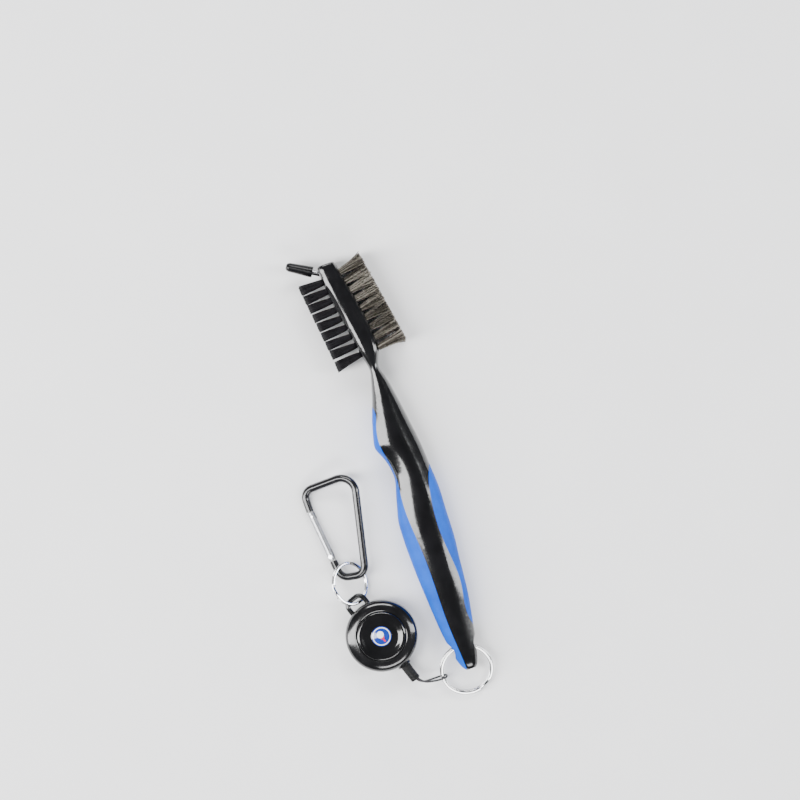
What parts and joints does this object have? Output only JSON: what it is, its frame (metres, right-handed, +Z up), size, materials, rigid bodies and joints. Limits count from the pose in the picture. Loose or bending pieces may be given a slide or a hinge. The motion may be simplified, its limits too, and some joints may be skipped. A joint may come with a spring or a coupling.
{
  "type": "golf groove brush",
  "caption": "Two-sided golf club brush with nylon and wire bristles, a capped groove pick, and a key ring joined by a cord to a retracting reel and a spring-gate carabiner.",
  "frame": {"origin": "middle of the underside of the whole object's box, on the surface it lies on", "axes": "+Y along the brush from its tail to the tip of its head, +X towards the wire bristles, +Z up from the surface it lies on"},
  "size_m": [0.0744, 0.2184, 0.016],
  "materials": {
    "core_plastic": "gloss",
    "grip_rubber": "matte",
    "nylon": "satin",
    "wire": "bright",
    "staple": "satin",
    "pick_steel": "satin",
    "cap_rubber": "matte",
    "ring_steel": "polished",
    "cord": "braided",
    "stopper_plastic": "textured",
    "reel_plastic": "gloss",
    "reel_disc": "high gloss",
    "badge": "domed resin",
    "screw_steel": "satin",
    "spool_plastic": "satin",
    "spring_steel": "blued",
    "clip_black": "black anodised",
    "clip_silver": "brushed",
    "rivet_steel": "bright"
  },
  "bodies": {
    "brush": {"handle_core": "core_plastic", "grip_back": "grip_rubber", "grip_front": "grip_rubber", "nylon_tufts": "nylon", "nylon_anchors": "staple", "wire_tufts": "wire", "wire_anchors": "staple", "groove_pick": "pick_steel"},
    "cap": {"pick_cap": "cap_rubber"},
    "ring": {"key_ring": "ring_steel"},
    "cord_end": {"cord_loop": "cord", "cord_lead": "cord", "cord_stopper": "stopper_plastic"},
    "reel": {"reel_rear_cover": "reel_plastic", "reel_front_cover": "reel_plastic", "reel_face": "reel_disc", "face_badge": "badge", "case_screws": "screw_steel", "cord_run": "cord", "power_spring": "spring_steel"},
    "drum": {"spool": "spool_plastic", "spring_cover": "spool_plastic", "cord_coil": "cord"},
    "link": {"strap_ring": "ring_steel"},
    "hook": {"carabiner_body": "clip_black", "gate_rivet": "rivet_steel"},
    "gate": {"carabiner_gate": "clip_silver", "gate_latch_pin": "rivet_steel", "gate_plunger": "rivet_steel", "gate_spring": "spring_steel"}
  },
  "joints": [
    {"name": "pick_cap_pull", "type": "slide", "parent": "brush", "child": "cap", "axis": [-0.8526, 0.5225, 0], "range_m": [0, 0.014]},
    {"name": "key_ring_swing", "type": "hinge", "parent": "brush", "child": "ring", "pos_m": [0.01172, -0.08687, 0.008], "axis": [1, 0, 0], "range_deg": [-150, 115]},
    {"name": "cord_swing", "type": "hinge", "parent": "ring", "child": "cord_end", "pos_m": [-0.00003, -0.09689, 0.00485], "axis": [0, 0.9539, 0.3], "range_deg": [-30, 110]},
    {"name": "reel_pull", "type": "slide", "parent": "cord_end", "child": "reel", "axis": [-0.3173, 0.9483, 0], "range_m": [0, 0.6], "stiffness_N_per_m": 0.5, "springref_m": -0.6},
    {"name": "spool_spin", "type": "hinge", "parent": "reel", "child": "drum", "pos_m": [-0.02038, -0.06887, 0.006], "axis": [0, 0, 1], "range_deg": [-3050, 0], "deforming": ["power_spring"]},
    {"name": "strap_ring_swing", "type": "hinge", "parent": "reel", "child": "link", "pos_m": [-0.02641, -0.05085, 0.007], "axis": [0.7668, 0.0069, -0.6419], "range_deg": [-25, 45]},
    {"name": "carabiner_swing", "type": "hinge", "parent": "link", "child": "hook", "pos_m": [-0.02642, -0.03796, 0.00384], "axis": [0.9512, -0.1683, 0.2587], "range_deg": [-48, 68]},
    {"name": "gate_open", "type": "hinge", "parent": "hook", "child": "gate", "pos_m": [-0.03018, -0.02649, 0.00271], "axis": [-0.2608, 0.0095, 0.9653], "range_deg": [-28, 0], "stiffness_Nm_per_rad": 0.0002, "springref_deg": 14.32, "deforming": ["gate_spring"]}
  ],
  "couplings": [
    {"joint": "spool_spin", "follows": "reel_pull", "rad_per_m": -87}
  ]
}
